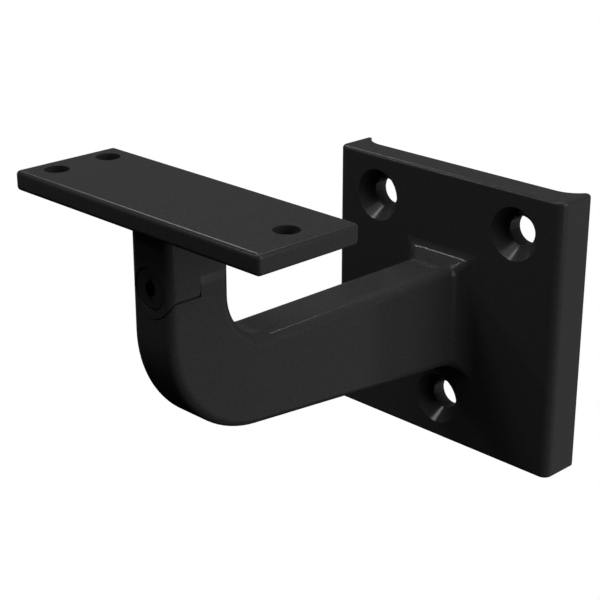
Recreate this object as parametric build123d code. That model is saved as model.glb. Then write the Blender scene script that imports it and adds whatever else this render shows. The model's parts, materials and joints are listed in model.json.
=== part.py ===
"""Handrail bracket for a square post, with a saddle that tilts to the slope of the rail.

Millimetres. +X runs along the rail, +Y into the post and +Z up. The origin is on the flat
seat at the back of the wall plate, at the middle of the plate.
"""
import os
from math import acos, degrees, radians, sin, sqrt, tan

from build123d import *

# Wall plate, a short channel whose lips hug the rounded corners of the post
plate_width = 66.0
plate_height = 65.7
plate_web = 6.85
lip_depth = 3.25
lip_tip = 1.3
post_corner_radius = 6.6
plate_corner_radius = 2.2
plate_edge_radius = 0.8
lip_edge_radius = 0.2

# Countersunk holes for the three post screws, two above the arm and one below it
upper_hole_offset = 20.3
hole_height = 23.05
plate_hole_diameter = 7.0
countersink_diameter = 12.4
countersink_angle = 80.0
head_room = 8.0

# Arm, level on top and tapered below, bent up into the stem
reach = 84.8
stem_width = 11.9
stem_depth = 15.6
arm_height = 12.4
arm_root_drop = 12.7
arm_taper = 5.3
inner_bend_radius = 11.3
outer_bend_radius = 24.6
arm_edge_radius = 2.2
root_side_radius = 4.8
root_top_radius = 3.0
root_corner_radius = 0.12

# Half-lap knuckle between the arm and the saddle
pivot_height = 27.6
cheek_offset = 2.1
seat_gap = 0.25
lap_gap = 0.1

# Saddle that carries the rail
saddle_length = 71.3
saddle_width = 25.0
saddle_thickness = 4.2
saddle_height = 44.6
saddle_edge_radius = 0.9
saddle_root_radius = 1.5
rail_hole_diameter = 5.2
rail_pair_from_end = 5.4
rail_pair_pitch = 12.9
single_hole_from_end = 6.4
rail_row_setback = 0.35

# Countersunk socket screw that pins and clamps the knuckle
screw_diameter = 5.0
screw_length = 14.0
head_diameter = 8.6
head_rim = 0.3
head_angle = 90.0
head_setback = 0.1
socket_width = 2.8
socket_depth = 2.2
running_clearance = 0.08
thread_clearance = 0.03

plate_front = -plate_web
root_start = plate_front - root_side_radius
stem_front = -reach - stem_depth / 2
stem_rear = -reach + stem_depth / 2
lap_plane = -reach
round_end = stem_width / 2
seat_radius = round_end + seat_gap
saddle_underside = saddle_height - saddle_thickness
rail_pair_x = rail_pair_from_end - saddle_length / 2
single_hole_x = saddle_length / 2 - single_hole_from_end
rail_row = rail_row_setback - reach
head_face = stem_front + head_setback
# longer than any piece, for cuts that run right through
through = 60.0


def nearest(shapes, *point):
    """The corner, edge or face that lies nearest to a point."""
    return shapes.sort_by_distance(point)[0]


def cone_depth(wide, narrow, angle):
    """How deep a countersink of this included angle goes between two diameters."""
    return (wide - narrow) / 2 / tan(radians(angle / 2))


def turned(x, y, z, *section):
    """A solid turned about an axis along Y, from pairs of radius and height towards -Y."""
    profile = make_face(Polyline(*section, close=True))
    spun = revolve(Plane.XZ * profile, Axis.Z)
    return Plane(origin=(x, y, z), x_dir=(1, 0, 0), z_dir=(0, -1, 0)) * spun


def plate_channel():
    """The channel: flat seat, lips with the post's corner radius inside, rounded front."""
    half = plate_width / 2
    tip = half - lip_tip
    turn = acos((post_corner_radius - lip_depth) / post_corner_radius)
    lip = JernArc((tip - post_corner_radius * sin(turn), 0), (1, 0), post_corner_radius, degrees(turn))
    side = Polyline(lip @ 1, (half, lip_depth), (half, plate_front), (0, plate_front))
    outline = Line((0, 0), lip @ 0) + lip + side
    outline += mirror(outline, about=Plane.YZ)
    body = extrude(make_face(outline), amount=plate_height / 2, both=True)
    uprights = body.edges().filter_by(Axis.Z)
    body = fillet(uprights.group_by(Axis.Y)[0], plate_corner_radius)
    rims = [edge for edge in body.edges() if abs(edge.center().Z) > plate_height / 2 - 0.01]
    rims = [edge for edge in rims if edge.center().Y < -lip_tip]
    body = fillet(rims, plate_edge_radius)
    tip_edges = body.edges().filter_by(Axis.Z).group_by(Axis.Y)[-1]
    return fillet(tip_edges, lip_edge_radius)


def post_screw_hole(x, z):
    """Clearance hole and countersink in the web, with room for the head in front of it."""
    bore, mouth = plate_hole_diameter / 2, countersink_diameter / 2
    cone = cone_depth(countersink_diameter, plate_hole_diameter, countersink_angle)
    deep = -plate_web - lip_depth
    section = [(0, deep), (bore, deep), (bore, -cone)]
    section += [(mouth, 0), (mouth, head_room), (0, head_room)]
    return turned(x, plate_front, z, *section)


def arm_drop(y):
    """How far the arm's tapered underside lies below the plate's middle at a depth."""
    return arm_root_drop - (plate_front - y) * tan(radians(arm_taper))


def bent_arm():
    """The arm and stem in side view, extruded and rounded along the four long edges."""
    top = pivot_height + round_end
    points = [(root_start, arm_height), (stem_rear, arm_height), (stem_rear, top), (stem_front, top)]
    points += [(stem_front, -arm_drop(stem_front)), (root_start, -arm_drop(root_start))]
    with BuildSketch(Plane.YZ) as side_view:
        with BuildLine():
            Polyline(*points, close=True)
        make_face()
        fillet(nearest(side_view.vertices(), *points[1]), inner_bend_radius)
        fillet(nearest(side_view.vertices(), *points[4]), outer_bend_radius)
    body = extrude(side_view.sketch, amount=round_end, both=True)
    flanks = body.faces().filter_by(Axis.X)
    long_edges = [edge for edge in flanks.edges() if edge.center().Y < root_start - 0.01]
    long_edges = [edge for edge in long_edges if edge.center().Z < top - 0.01]
    return fillet(long_edges, arm_edge_radius)


def flare(radius, y):
    """How far a concave flare of this radius stands out at a depth, and the sine of its turn."""
    turned_in = min(1.0, max(0.0, 1 - (plate_front - y) / radius))
    return radius * (1 - sqrt(1 - turned_in ** 2)), turned_in


def root_section(turn):
    """The flare's section where its side walls have turned by this angle towards the plate."""
    y = root_start + root_side_radius * sin(turn)
    out, side_turn = flare(root_side_radius, y)
    up, top_turn = flare(root_top_radius, y)
    top, bottom = arm_height + up, -arm_drop(y) - up
    # the rounding of the mitred corner dies out as its two walls turn to face the same way
    corner = arm_edge_radius * tan(acos(side_turn * top_turn) / 2)
    frame = Plane(origin=(0, y, (top + bottom) / 2), x_dir=(1, 0, 0), z_dir=(0, -1, 0))
    return frame * RectangleRounded(stem_width + 2 * out, top - bottom, max(corner, root_corner_radius))


def arm_root(arm):
    """The concave flare that joins the arm to the plate, with mitred corners."""
    end = arm.faces().sort_by(Axis.Y)[-1]
    turns = [radians(turn) for turn in (15, 30, 45, 60, 75, 90)]
    return loft([end] + [root_section(turn) for turn in turns])


def across(radius, y_from, y_to):
    """A cylinder on the pivot's axis between two depths."""
    return Pos(0, (y_from + y_to) / 2, pivot_height) * Rot(90, 0, 0) * Cylinder(radius, y_to - y_from)


def past(z, up, y_from, y_to):
    """Everything past a height, upwards or downwards, between two depths."""
    return Pos(0, (y_from + y_to) / 2, z + up * through / 2) * Box(through, y_to - y_from, through)


def seat_room(up, y_from, y_to):
    """What one half of the stem gives up for the other piece's round end to turn in."""
    return past(pivot_height - up * cheek_offset, up, y_from, y_to) + across(seat_radius, y_from, y_to)


def past_round_end(up, y_from, y_to):
    """What is cut from one half of the stem to leave a round end about the pivot."""
    return past(pivot_height, up, y_from, y_to) - across(round_end, y_from, y_to)


def wall_bracket():
    """Plate and arm in one casting, with the knuckle's rear tongue and its tapped hole."""
    arm = bent_arm()
    body = plate_channel() + arm + arm_root(arm)
    tongue_front = lap_plane + lap_gap / 2
    body -= seat_room(1, stem_front - 1, tongue_front)
    body -= past_round_end(1, tongue_front, stem_rear + 1)
    body -= across(screw_diameter / 2 + thread_clearance, stem_front, stem_rear + 1)
    upper = [(side * upper_hole_offset, hole_height) for side in (-1, 1)]
    for x, z in upper + [(0, -hole_height)]:
        body -= post_screw_hole(x, z)
    return body


def saddle_plate():
    """The flat plate under the rail, rounded all round, with its three screw holes."""
    middle = Pos(0, -reach, saddle_height - saddle_thickness / 2)
    body = middle * Box(saddle_length, saddle_width, saddle_thickness)
    return fillet(body.edges(), saddle_edge_radius)


def saddle():
    """Plate and short stem in one casting, with the knuckle's front tongue."""
    low = pivot_height - round_end
    stem = Box(stem_width, stem_depth, saddle_underside - low)
    stem = Pos(0, -reach, (low + saddle_underside) / 2) * stem
    stem = fillet(stem.edges().filter_by(Axis.Z), arm_edge_radius)
    body = saddle_plate() + stem
    corner = [edge for edge in body.edges() if abs(edge.center().Z - saddle_underside) < 0.01]
    corner = [edge for edge in corner if abs(edge.center().X) < round_end + 0.01]
    corner = [edge for edge in corner if abs(edge.center().Y + reach) < stem_depth / 2 + 0.01]
    body = fillet(corner, saddle_root_radius)
    tongue_rear = lap_plane - lap_gap / 2
    body -= seat_room(-1, tongue_rear, stem_rear + 1)
    body -= past_round_end(-1, stem_front - 1, tongue_rear)
    body -= pivot_screw_room()
    pair = [(rail_pair_x, side * rail_pair_pitch / 2) for side in (-1, 1)]
    for x, y in pair + [(single_hole_x, 0)]:
        hole = Cylinder(rail_hole_diameter / 2, 3 * saddle_thickness)
        body -= Pos(x, rail_row + y, saddle_height) * hole
    return body


def pivot_screw_room():
    """The bore and countersink in the saddle's tongue, a running clearance wider than the screw."""
    bore = screw_diameter / 2 + running_clearance
    mouth = head_diameter / 2 + running_clearance
    cone = cone_depth(2 * mouth, 2 * bore, head_angle)
    rim = -head_rim
    section = [(0, -stem_depth), (bore, -stem_depth), (bore, rim - cone)]
    section += [(mouth, rim), (mouth, 1), (0, 1)]
    return turned(0, head_face, pivot_height, *section)


def pivot_screw():
    """Countersunk screw with a hexagon socket, its thread left plain."""
    bore, mouth = screw_diameter / 2, head_diameter / 2
    under = -head_rim - cone_depth(head_diameter, screw_diameter, head_angle)
    tip = -screw_length
    point = screw_diameter / 10
    shank = [(0, tip), (bore - point, tip), (bore, tip + point), (bore, under)]
    head = [(mouth, -head_rim), (mouth, 0), (0, 0)]
    body = turned(0, head_face, pivot_height, *shank, *head)
    mouth_plane = Plane(origin=(0, head_face, pivot_height), x_dir=(1, 0, 0), z_dir=(0, -1, 0))
    socket = mouth_plane * RegularPolygon(socket_width / 2, 6, major_radius=False)
    return body - extrude(socket, amount=-socket_depth)


pieces = {"wall_bracket": wall_bracket(), "saddle": saddle(), "pivot_screw": pivot_screw()}
os.makedirs("parts", exist_ok=True)
for name, piece in pieces.items():
    export_step(piece, f"parts/{name}.step")
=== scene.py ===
"""Handrail bracket in black powder coat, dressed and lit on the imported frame.

Metres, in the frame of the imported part: +X along the rail, +Y into the post, +Z up, origin on the
flat seat at the back of the wall plate.
"""
import json
import math

import bmesh
import bpy
from mathutils import Matrix, Vector


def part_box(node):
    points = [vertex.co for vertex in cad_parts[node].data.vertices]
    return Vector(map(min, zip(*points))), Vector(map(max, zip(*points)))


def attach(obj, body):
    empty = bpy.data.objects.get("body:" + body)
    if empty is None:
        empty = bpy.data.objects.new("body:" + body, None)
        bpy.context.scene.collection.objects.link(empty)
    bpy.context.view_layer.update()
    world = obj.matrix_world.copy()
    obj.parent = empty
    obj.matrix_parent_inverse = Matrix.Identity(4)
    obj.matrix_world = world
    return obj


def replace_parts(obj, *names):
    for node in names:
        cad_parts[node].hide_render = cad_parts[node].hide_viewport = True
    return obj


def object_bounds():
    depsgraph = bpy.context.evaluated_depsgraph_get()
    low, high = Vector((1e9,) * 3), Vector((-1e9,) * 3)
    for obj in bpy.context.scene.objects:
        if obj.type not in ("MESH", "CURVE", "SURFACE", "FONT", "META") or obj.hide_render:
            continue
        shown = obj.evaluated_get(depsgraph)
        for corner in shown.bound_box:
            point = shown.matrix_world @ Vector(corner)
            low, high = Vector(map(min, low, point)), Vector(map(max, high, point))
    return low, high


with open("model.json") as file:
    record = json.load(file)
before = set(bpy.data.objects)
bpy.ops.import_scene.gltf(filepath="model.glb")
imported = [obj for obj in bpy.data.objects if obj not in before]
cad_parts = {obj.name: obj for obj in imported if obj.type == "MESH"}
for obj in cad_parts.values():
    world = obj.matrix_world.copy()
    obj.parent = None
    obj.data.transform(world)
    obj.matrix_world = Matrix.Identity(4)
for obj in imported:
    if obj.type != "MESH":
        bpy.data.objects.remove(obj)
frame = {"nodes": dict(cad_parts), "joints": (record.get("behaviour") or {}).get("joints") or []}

bl_info = {
    "name": "Handrail bracket",
    "version": (1, 0, 0),
    "blender": (4, 5, 0),
    "location": "View3D > Sidebar > Bracket",
    "description": "Powder coat, pivot screw and studio for a handrail bracket",
    "category": "Object",
}

MM = 0.001

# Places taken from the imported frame
CAD_BOX = [list(corner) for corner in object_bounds()]
OBJECT_MIDDLE = (Vector(CAD_BOX[0]) + Vector(CAD_BOX[1])) / 2
PIVOT = Vector(frame["joints"][0]["pos_m"])
AXIS = Vector((0, 1, 0))
SCREW_LOW, SCREW_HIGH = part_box("pivot_screw")
HEAD_FACE = SCREW_LOW[1]
SCREW_TIP = SCREW_HIGH[1]
HEAD_RADIUS = (SCREW_HIGH[0] - SCREW_LOW[0]) / 2
# just inside the knuckle's back, as far behind the pivot's plane as the head's face is in front
HOLE_BACK = PIVOT.y + (PIVOT.y - HEAD_FACE)

# Corners closer than this are one, and edges that turn by more than this stay sharp
MERGE = 0.002 * MM
SHARP = math.radians(32)

# Threads, in shares of the pitch: depths, half widths of root and crest, and how far a root sinks in
THREAD_DEPTH = 0.58
TAPPED_DEPTH = 0.5
ROOT_HALF = 0.46
CREST_HALF = 0.06
ROOT_SUNK = 0.05

# Drill point at the bottom of the socket, in shares of the socket's width
DRILL_WIDTH = 0.85
DRILL_DEPTH = 0.25

# Height of the fine relief on the coat and of the turning marks on the screw
COAT_RELIEF = 0.02 * MM
MARK_RELIEF = 0.01 * MM

# Studio
WHITE = "#FFFFFF"
BLACK = "#000000"
FLOOR_PAINT = "#EEEEEE"
SENSOR_WIDTH = 36.0
CAMERA_NEAREST = 0.01
CAMERA_FARTHEST = 50.0


class FinishSettings(bpy.types.PropertyGroup):
    """Colours and grain of the painted castings and the screw."""

    coat_colour: bpy.props.StringProperty(
        name="Coat colour", description="sRGB hex colour of the powder coat", default="#393939"
    )
    screw_colour: bpy.props.StringProperty(
        name="Screw colour", description="sRGB hex colour of the blackened screw", default="#2E2E2F"
    )
    peel_size: bpy.props.FloatProperty(
        name="Orange peel", description="Width of one ripple of the baked coat",
        default=1.6 * MM, unit="LENGTH",
    )
    grain_size: bpy.props.FloatProperty(
        name="Grain", description="Width of one grain of the satin texture",
        default=0.3 * MM, unit="LENGTH",
    )


class ScrewSettings(bpy.types.PropertyGroup):
    """Measures of the countersunk screw that pins the knuckle, and of its thread."""

    bore: bpy.props.FloatProperty(
        name="Tapped hole", description="Diameter of the tapped hole before its thread is cut",
        default=5.06 * MM, unit="LENGTH",
    )
    shank: bpy.props.FloatProperty(
        name="Shank", description="Outside diameter of the thread", default=5.0 * MM, unit="LENGTH"
    )
    pitch: bpy.props.FloatProperty(
        name="Pitch", description="Rise of the thread in one turn", default=0.8 * MM, unit="LENGTH"
    )
    rim: bpy.props.FloatProperty(
        name="Rim", description="Straight edge of the head above its cone", default=0.3 * MM, unit="LENGTH"
    )
    head_gap: bpy.props.FloatProperty(
        name="Head gap", description="How much smaller in radius, and so how much deeper, the head sits",
        default=0.12 * MM, unit="LENGTH",
    )
    chamfer: bpy.props.FloatProperty(
        name="Chamfer", description="Bevel of the head's edge and of the socket's mouth",
        default=0.08 * MM, unit="LENGTH",
    )
    socket: bpy.props.FloatProperty(
        name="Socket", description="Hexagon socket across its flats", default=2.6 * MM, unit="LENGTH"
    )
    socket_depth: bpy.props.FloatProperty(
        name="Socket depth", description="Depth of the socket's flat sides", default=2.0 * MM, unit="LENGTH"
    )


class StudioSettings(bpy.types.PropertyGroup):
    """Places of the camera, floor, lamps and cards, and the tones of the room and the grey cards."""

    camera_place: bpy.props.FloatVectorProperty(
        name="Camera", description="Place of the camera", size=3,
        default=(0.2163, -0.26485, 0.1323), subtype="TRANSLATION", unit="LENGTH",
    )
    camera_turn: bpy.props.FloatProperty(
        name="Turn", description="Camera's turn from the post's normal",
        default=math.radians(45.515), subtype="ANGLE",
    )
    camera_dip: bpy.props.FloatProperty(
        name="Dip", description="How far the camera looks down",
        default=math.radians(21.25), subtype="ANGLE",
    )
    focal_length: bpy.props.FloatProperty(
        name="Focal length", description="Lens on a 36 mm frame, in millimetres", default=92.72
    )
    floor_depth: bpy.props.FloatProperty(
        name="Floor", description="Depth of the floor below the seat's centre",
        default=0.9, unit="LENGTH",
    )
    floor_size: bpy.props.FloatProperty(
        name="Floor size", description="Half the width of the floor", default=8.0, unit="LENGTH"
    )
    room_light: bpy.props.FloatProperty(
        name="Room light", description="Level of light that the room adds from all sides", default=0.04
    )
    card_colour: bpy.props.StringProperty(
        name="Card colour", description="sRGB hex colour of the cards at the left and at the back",
        default="#4D4D4D",
    )
    card_foot: bpy.props.FloatProperty(
        name="Card foot", description="Depth of the cards' foot below the seat's centre",
        default=0.6, unit="LENGTH",
    )
    near: bpy.props.FloatProperty(
        name="Near lamps", description="How far the lamps for the faces hang from the object",
        default=0.8, unit="LENGTH",
    )
    far: bpy.props.FloatProperty(
        name="Far lamps", description="How far the lamps hang that draw straight lines of light",
        default=1.8, unit="LENGTH",
    )


def linear(text):
    """A hex sRGB colour as Blender's linear RGBA."""
    parts = [int(text[at:at + 2], 16) / 255 for at in (1, 3, 5)]
    return [c / 12.92 if c <= 0.04045 else ((c + 0.055) / 1.055) ** 2.4 for c in parts] + [1.0]


def add_node(tree, kind, inputs=None, **settings):
    """Adds a node, sets its properties, and fills or links its inputs."""
    node = tree.nodes.new(kind)
    for name, value in settings.items():
        setattr(node, name, value)
    for name, value in (inputs or {}).items():
        if isinstance(value, bpy.types.NodeSocket):
            tree.links.new(value, node.inputs[name])
        else:
            node.inputs[name].default_value = value
    return node


def new_material(name):
    """An empty node material and its tree."""
    material = bpy.data.materials.new(name)
    material.use_nodes = True
    material.node_tree.nodes.clear()
    return material, material.node_tree


def new_object(name, shape, material):
    """Turns a finished bmesh into an object with one material, and adds it to the scene."""
    mesh = bpy.data.meshes.new(name)
    shape.to_mesh(mesh)
    shape.free()
    mesh.materials.append(material)
    made = bpy.data.objects.new(name, mesh)
    bpy.context.scene.collection.objects.link(made)
    return made


def powder_coat(finish):
    """Satin black polyester powder, baked on a casting: soft sheen, faint orange peel, fine grain with
    painted shade and light on it.
    """
    material, tree = new_material("black_powder_coat")
    where = add_node(tree, "ShaderNodeTexCoord").outputs["Object"]
    peel = add_node(tree, "ShaderNodeTexNoise",
                    {"Vector": where, "Scale": 1 / finish.peel_size, "Detail": 2.0})
    grain = add_node(tree, "ShaderNodeTexNoise",
                     {"Vector": where, "Scale": 1 / finish.grain_size, "Detail": 3.0, "Roughness": 0.6})
    ripple = add_node(tree, "ShaderNodeBump",
                      {"Height": peel.outputs["Fac"], "Strength": 0.1, "Distance": COAT_RELIEF})
    pebble = add_node(tree, "ShaderNodeBump",
                      {"Height": grain.outputs["Fac"], "Normal": ripple.outputs["Normal"],
                       "Strength": 0.5, "Distance": COAT_RELIEF})
    # painted shade and light of the grain: the colour a quarter darker where the grain sinks and a quarter
    # lighter where it rises
    painted_grain_shade = add_node(tree, "ShaderNodeMapRange",
                     {"Value": grain.outputs["Fac"], "From Min": 0.3, "From Max": 0.7,
                      "To Min": 0.75, "To Max": 1.25})
    colour = add_node(tree, "ShaderNodeHueSaturation",
                      {"Color": linear(finish.coat_colour), "Value": painted_grain_shade.outputs["Result"]})
    # the matting in the powder leaves only a quarter of a clear plastic's gloss
    coat = add_node(tree, "ShaderNodeBsdfPrincipled",
                    {"Base Color": colour.outputs["Color"], "Roughness": 0.15,
                     "IOR": 1.5, "Specular IOR Level": 0.13, "Normal": pebble.outputs["Normal"]})
    add_node(tree, "ShaderNodeOutputMaterial", {"Surface": coat.outputs["BSDF"]})
    return material


def blackened_steel(finish):
    """Black oxide on a machined steel screw: darker than the paint, oily sheen, faint turning marks."""
    material, tree = new_material("black_oxide_steel")
    where = add_node(tree, "ShaderNodeTexCoord").outputs["Object"]
    marks = add_node(tree, "ShaderNodeTexNoise",
                     {"Vector": where, "Scale": 1 / finish.grain_size, "Detail": 2.0})
    fine = add_node(tree, "ShaderNodeBump",
                    {"Height": marks.outputs["Fac"], "Strength": 0.25, "Distance": MARK_RELIEF})
    oxide = add_node(tree, "ShaderNodeBsdfPrincipled",
                     {"Base Color": linear(finish.screw_colour), "Roughness": 0.4,
                      "Specular IOR Level": 0.1, "Normal": fine.outputs["Normal"]})
    add_node(tree, "ShaderNodeOutputMaterial", {"Surface": oxide.outputs["BSDF"]})
    return material


class BRACKET_OT_finish(bpy.types.Operator):
    """Coats the two castings"""

    bl_idname = "bracket.finish"
    bl_label = "Coat the castings"

    def execute(self, context):
        coat = powder_coat(context.scene.bracket_finish)
        for name in ("wall_bracket", "saddle"):
            for slot in frame["nodes"][name].material_slots:
                slot.material = coat
        return {"FINISHED"}


def turned(shape, profile, steps=64):
    """Spins a profile, given as pairs of radius and depth, round the pivot's axis, and closes its pole."""
    points = [shape.verts.new((PIVOT.x + radius, y, PIVOT.z)) for radius, y in profile]
    lines = [shape.edges.new(pair) for pair in zip(points, points[1:])]
    bmesh.ops.spin(shape, geom=points + lines, cent=PIVOT, axis=AXIS, angle=math.tau, steps=steps,
                   use_merge=True)
    bmesh.ops.remove_doubles(shape, verts=shape.verts, dist=MERGE)


def ridge(shape, root, crest, start, turns, pitch, steps=48):
    """Spins a V section up the pivot's axis into a closed thread ridge between two radii."""
    half, flat = ROOT_HALF * pitch, CREST_HALF * pitch
    section = [(root, -half), (crest, -flat), (crest, flat), (root, half)]
    corners = [shape.verts.new((PIVOT.x + radius, start + y, PIVOT.z)) for radius, y in section]
    face = shape.faces.new(corners)
    bmesh.ops.spin(shape, geom=[face], cent=PIVOT, axis=AXIS, dvec=AXIS * pitch / steps,
                   angle=turns * math.tau, steps=round(turns * steps))


def hexagon(shape, across, y):
    """The edges of a flat hexagon about the pivot's axis, given across its flats."""
    place = Matrix.Translation((PIVOT.x, y, PIVOT.z)) @ Matrix.Rotation(math.radians(90), 4, "X")
    to_corner = across / 2 / math.cos(math.radians(30))
    corners = bmesh.ops.create_circle(shape, segments=6, radius=to_corner, matrix=place)["verts"]
    return [edge for edge in shape.edges if all(corner in corners for corner in edge.verts)]


def sunk(shape, rim, depth, grow=1.0):
    """Extrudes a loop of edges into the head, scales the new loop about the axis and returns it."""
    made = bmesh.ops.extrude_edge_only(shape, edges=rim)["geom"]
    corners = [part for part in made if isinstance(part, bmesh.types.BMVert)]
    bmesh.ops.translate(shape, verts=corners, vec=AXIS * depth)
    bmesh.ops.scale(shape, verts=corners, vec=(grow, 1, grow), space=Matrix.Translation(-PIVOT))
    return [part for part in made if isinstance(part, bmesh.types.BMEdge)
            and all(corner in corners for corner in part.verts)]


def new_piece(name, shape, material):
    """Closes the seams of a mesh, turns its faces outwards and hangs it on the bracket."""
    bmesh.ops.remove_doubles(shape, verts=shape.verts, dist=MERGE)
    bmesh.ops.recalc_face_normals(shape, faces=shape.faces)
    piece = new_object(name, shape, material)
    piece.data.shade_smooth()
    piece.data.set_sharp_from_angle(angle=SHARP)
    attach(piece, "bracket")
    return piece


def head_places(sizes):
    """The head's radius, the depth of its face and the depth where its cone meets the shank."""
    radius = HEAD_RADIUS - sizes.head_gap
    face = HEAD_FACE + sizes.head_gap
    return radius, face, face + sizes.rim + radius - sizes.shank / 2


def core_radius(sizes):
    """Radius of the screw between the turns of its thread."""
    return sizes.shank / 2 - THREAD_DEPTH * sizes.pitch


def thread_span(sizes):
    """Where the screw's thread starts, a pitch past the head's cone, and its number of turns."""
    start = head_places(sizes)[-1] + sizes.pitch
    return start, math.floor((SCREW_TIP - start) / sizes.pitch) - 1


def screw_profile(sizes):
    """Pairs of radius and depth, from the rim of the head's face to the middle of the tip."""
    head, face, cone_end = head_places(sizes)
    shank, core = sizes.shank / 2, core_radius(sizes)
    start = thread_span(sizes)[0]
    bevel = sizes.pitch / 2
    profile = [(head - sizes.chamfer, face), (head, face + sizes.chamfer), (head, face + sizes.rim)]
    profile += [(shank, cone_end), (shank, start - bevel), (core, start)]
    return profile + [(core, SCREW_TIP - bevel), (core - bevel, SCREW_TIP), (0, SCREW_TIP)]


def sink_socket(screw, sizes):
    """Closes the head's face round a hexagon socket with a chamfered mouth and a drill point."""
    face = head_places(sizes)[1]
    mouth = sizes.socket + 2 * sizes.chamfer
    face_rim = [edge for edge in screw.edges if edge.is_boundary]
    socket_rim = hexagon(screw, mouth, face)
    bmesh.ops.bridge_loops(screw, edges=face_rim + socket_rim)
    flats = sunk(screw, socket_rim, sizes.chamfer, sizes.socket / mouth)
    floor = sunk(screw, flats, sizes.socket_depth)
    drilled = sunk(screw, floor, 0, DRILL_WIDTH)
    sunk(screw, drilled, DRILL_DEPTH * sizes.socket, 0)


class BRACKET_OT_screw(bpy.types.Operator):
    """Builds the countersunk socket screw"""

    bl_idname = "bracket.screw"
    bl_label = "Fit the pivot screw"

    def execute(self, context):
        sizes = context.scene.bracket_screw
        steel = blackened_steel(context.scene.bracket_finish)
        screw = bmesh.new()
        turned(screw, screw_profile(sizes))
        sink_socket(screw, sizes)
        root = core_radius(sizes) - ROOT_SUNK * sizes.pitch
        ridge(screw, root, sizes.shank / 2, *thread_span(sizes), sizes.pitch)
        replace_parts(new_piece("socket_screw", screw, steel), "pivot_screw")
        return {"FINISHED"}


class BRACKET_OT_thread(bpy.types.Operator):
    """Cuts the thread that shows in the open end of the tapped hole"""

    bl_idname = "bracket.thread"
    bl_label = "Tap the hole"

    def execute(self, context):
        sizes = context.scene.bracket_screw
        wall, pitch = sizes.bore / 2, sizes.pitch
        start, turns = thread_span(sizes)
        # from half a turn past the screw's last one to half a pitch inside the hole's back
        first = start + (turns + 0.5) * pitch
        last = HOLE_BACK - 0.5 * pitch
        root = wall + ROOT_SUNK * pitch
        crest = wall - TAPPED_DEPTH * pitch
        hole = bmesh.new()
        ridge(hole, root, crest, first, (last - first) / pitch, pitch)
        coat = frame["nodes"]["wall_bracket"].active_material
        new_piece("tapped_thread", hole, coat)
        return {"FINISHED"}


def seen_by_eye(tree):
    """1 for rays from the camera and for those in gloss and glass, 0 for the light that falls on things."""
    path = add_node(tree, "ShaderNodeLightPath")
    mirrored = add_node(tree, "ShaderNodeMath",
                        {0: path.outputs["Is Glossy Ray"], 1: path.outputs["Is Camera Ray"]},
                        operation="MAXIMUM")
    through = add_node(tree, "ShaderNodeMath",
                       {0: mirrored.outputs["Value"], 1: path.outputs["Is Transmission Ray"]},
                       operation="MAXIMUM")
    return through.outputs["Value"]


def lay_floor(studio):
    """A plain white floor, which reads as white to the eye and takes the object's shadow from the lamps."""
    material, tree = new_material("white_floor")
    paint = add_node(tree, "ShaderNodeBsdfDiffuse", {"Color": linear(FLOOR_PAINT)})
    glow = add_node(tree, "ShaderNodeEmission", {"Color": linear(WHITE), "Strength": 1.0})
    mix = add_node(tree, "ShaderNodeMixShader",
                   {0: seen_by_eye(tree), 1: paint.outputs["BSDF"], 2: glow.outputs["Emission"]})
    add_node(tree, "ShaderNodeOutputMaterial", {"Surface": mix.outputs["Shader"]})
    shape = bmesh.new()
    bmesh.ops.create_grid(shape, x_segments=1, y_segments=1, size=studio.floor_size)
    bmesh.ops.translate(shape, verts=shape.verts, vec=(0, 0, -studio.floor_depth))
    new_object("floor", shape, material)


def light_world(scene, studio):
    """A white room to the eye, which adds only a low level of light to the object."""
    world = bpy.data.worlds.new("studio")
    world.use_nodes = True
    tree = world.node_tree
    tree.nodes.clear()
    level = add_node(tree, "ShaderNodeMapRange",
                     {"Value": seen_by_eye(tree), "To Min": studio.room_light, "To Max": 1.0})
    room = add_node(tree, "ShaderNodeBackground",
                    {"Color": linear(WHITE), "Strength": level.outputs["Result"]})
    add_node(tree, "ShaderNodeOutputWorld", {"Surface": room.outputs["Background"]})
    scene.world = world


def hang_lamp(name, turn, height, away, width, level):
    """A square lamp that faces the object from a turn and height in degrees, and lights it to a level."""
    light = bpy.data.lights.new(name, "AREA")
    light.size = width
    # the power that makes a white surface facing the lamp as bright as the level says
    light.energy = level * (math.pi * away) ** 2
    lamp = bpy.data.objects.new(name, light)
    bpy.context.scene.collection.objects.link(lamp)
    raised = Matrix.Rotation(math.radians(-height), 3, "Y")
    direction = Matrix.Rotation(math.radians(turn), 3, "Z") @ raised @ Vector((1, 0, 0))
    lamp.location = OBJECT_MIDDLE + direction * away
    lamp.rotation_euler = direction.to_track_quat("Z", "Y").to_euler()


def hang_lamps(studio):
    """Far lamps that draw lines of light along edges, cones and the arm's root, and near ones for faces."""
    hang_lamp("key_lamp", turn=220, height=58, away=studio.far, width=0.42, level=0.18)
    hang_lamp("left_edge_lamp", turn=155, height=40, away=studio.far, width=0.45, level=0.1)
    hang_lamp("front_edge_lamp", turn=223, height=33, away=studio.far, width=0.18, level=0.07)
    hang_lamp("back_edge_lamp", turn=90, height=53, away=studio.far, width=0.16, level=0.028)
    hang_lamp("top_lamp", turn=45, height=82, away=studio.near, width=0.7, level=0.17)
    hang_lamp("right_lamp", turn=12, height=12, away=studio.near, width=0.7, level=0.51)
    hang_lamp("front_lamp", turn=255, height=79, away=studio.near, width=0.7, level=0.31)
    hang_lamp("low_lamp", turn=45, height=-35, away=studio.near, width=1.0, level=0.15)
    hang_lamp("root_lamp", turn=0, height=-24, away=studio.far, width=0.7, level=0.035)


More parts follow.
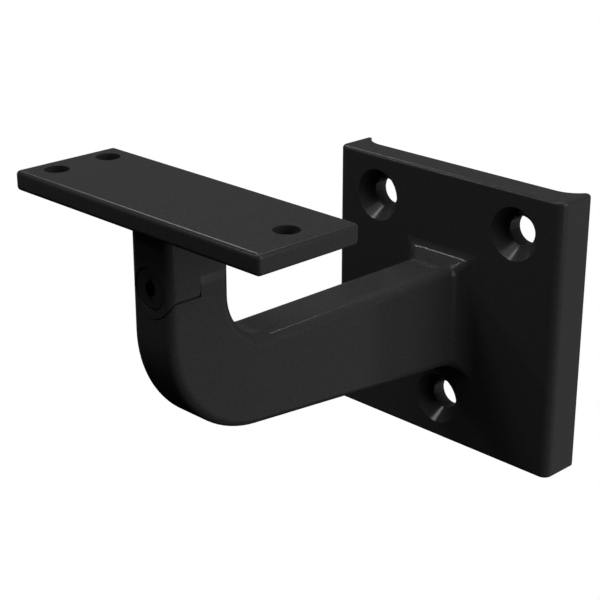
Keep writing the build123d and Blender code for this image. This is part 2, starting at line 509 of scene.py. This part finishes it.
def hang_card(name, corner, run, rise, colour):
    """A flat card spanned from a corner, unseen by the camera, whose tone shows in the gloss."""
    material, tree = new_material(name)
    tone = add_node(tree, "ShaderNodeEmission", {"Color": linear(colour)})
    add_node(tree, "ShaderNodeOutputMaterial", {"Surface": tone.outputs["Emission"]})
    shape = bmesh.new()
    ends = [shape.verts.new(corner), shape.verts.new(Vector(corner) + Vector(run))]
    made = bmesh.ops.extrude_edge_only(shape, edges=[shape.edges.new(ends)])["geom"]
    moved = [part for part in made if isinstance(part, bmesh.types.BMVert)]
    bmesh.ops.translate(shape, verts=moved, vec=rise)
    card = new_object(name, shape, material)
    card.visible_camera = False
    card.visible_shadow = False


def hang_cards(studio):
    """Grey cards to the left and behind, black ones below and in front, which dim the room in the gloss."""
    # corners and sides in shares of the far lamps' distance
    left, front, back = -0.9 * studio.far, -1.5 * studio.far, 0.9 * studio.far
    front_corner = (left, front, -studio.card_foot)
    back_corner = (left, back, -studio.card_foot)
    deep = (0, 4 * studio.far, 0)
    wide = (2.3 * studio.far, 0, 0)
    slant = (2.1 * studio.far, 1.2 * studio.far, 0)
    tall = (0, 0, 2.2 * studio.far)
    hang_card("grey_card", front_corner, deep, tall, studio.card_colour)
    hang_card("back_card", back_corner, wide, tall, studio.card_colour)
    hang_card("black_card", front_corner, deep, wide, BLACK)
    hang_card("front_card", front_corner, slant, tall, BLACK)


def place_camera(scene, studio):
    """The camera that sees the bracket from its right, a little above."""
    camera = bpy.data.objects.new("camera", bpy.data.cameras.new("camera"))
    scene.collection.objects.link(camera)
    camera.data.lens = studio.focal_length
    camera.data.sensor_width = SENSOR_WIDTH
    camera.data.clip_start = CAMERA_NEAREST
    camera.data.clip_end = CAMERA_FARTHEST
    camera.location = studio.camera_place
    camera.rotation_euler = (math.radians(90) - studio.camera_dip, 0, studio.camera_turn)
    scene.camera = camera


class BRACKET_OT_stage(bpy.types.Operator):
    """Lays the floor and sets the world, lamps, cards and camera"""

    bl_idname = "bracket.stage"
    bl_label = "Set the stage"

    def execute(self, context):
        studio = context.scene.bracket_studio
        lay_floor(studio)
        light_world(context.scene, studio)
        hang_lamps(studio)
        hang_cards(studio)
        place_camera(context.scene, studio)
        context.scene.view_settings.view_transform = "Standard"
        return {"FINISHED"}


class BRACKET_PT_panel(bpy.types.Panel):
    """Every setting and step of the bracket, in the 3D view's sidebar"""

    bl_label = "Handrail bracket"
    bl_idname = "BRACKET_PT_panel"
    bl_space_type = "VIEW_3D"
    bl_region_type = "UI"
    bl_category = "Bracket"

    def draw(self, context):
        for group_name in GROUPS:
            group = getattr(context.scene, group_name)
            for name in group.__annotations__:
                self.layout.prop(group, name)
        for operator in OPERATORS:
            self.layout.operator(operator.bl_idname)


GROUPS = {"bracket_finish": FinishSettings, "bracket_screw": ScrewSettings, "bracket_studio": StudioSettings}
OPERATORS = (BRACKET_OT_finish, BRACKET_OT_screw, BRACKET_OT_thread, BRACKET_OT_stage)


def register():
    """Adds the settings, the operators and the panel to Blender."""
    for name, group in GROUPS.items():
        bpy.utils.register_class(group)
        setattr(bpy.types.Scene, name, bpy.props.PointerProperty(type=group))
    for operator in OPERATORS:
        bpy.utils.register_class(operator)
    bpy.utils.register_class(BRACKET_PT_panel)


def unregister():
    """Takes the panel, the operators and the settings out of Blender again."""
    bpy.utils.unregister_class(BRACKET_PT_panel)
    for operator in reversed(OPERATORS):
        bpy.utils.unregister_class(operator)
    for name, group in GROUPS.items():
        delattr(bpy.types.Scene, name)
        bpy.utils.unregister_class(group)


def main():
    """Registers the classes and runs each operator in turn."""
    register()
    bpy.ops.bracket.finish()
    bpy.ops.bracket.screw()
    bpy.ops.bracket.thread()
    bpy.ops.bracket.stage()


if __name__ == "__main__":
    main()
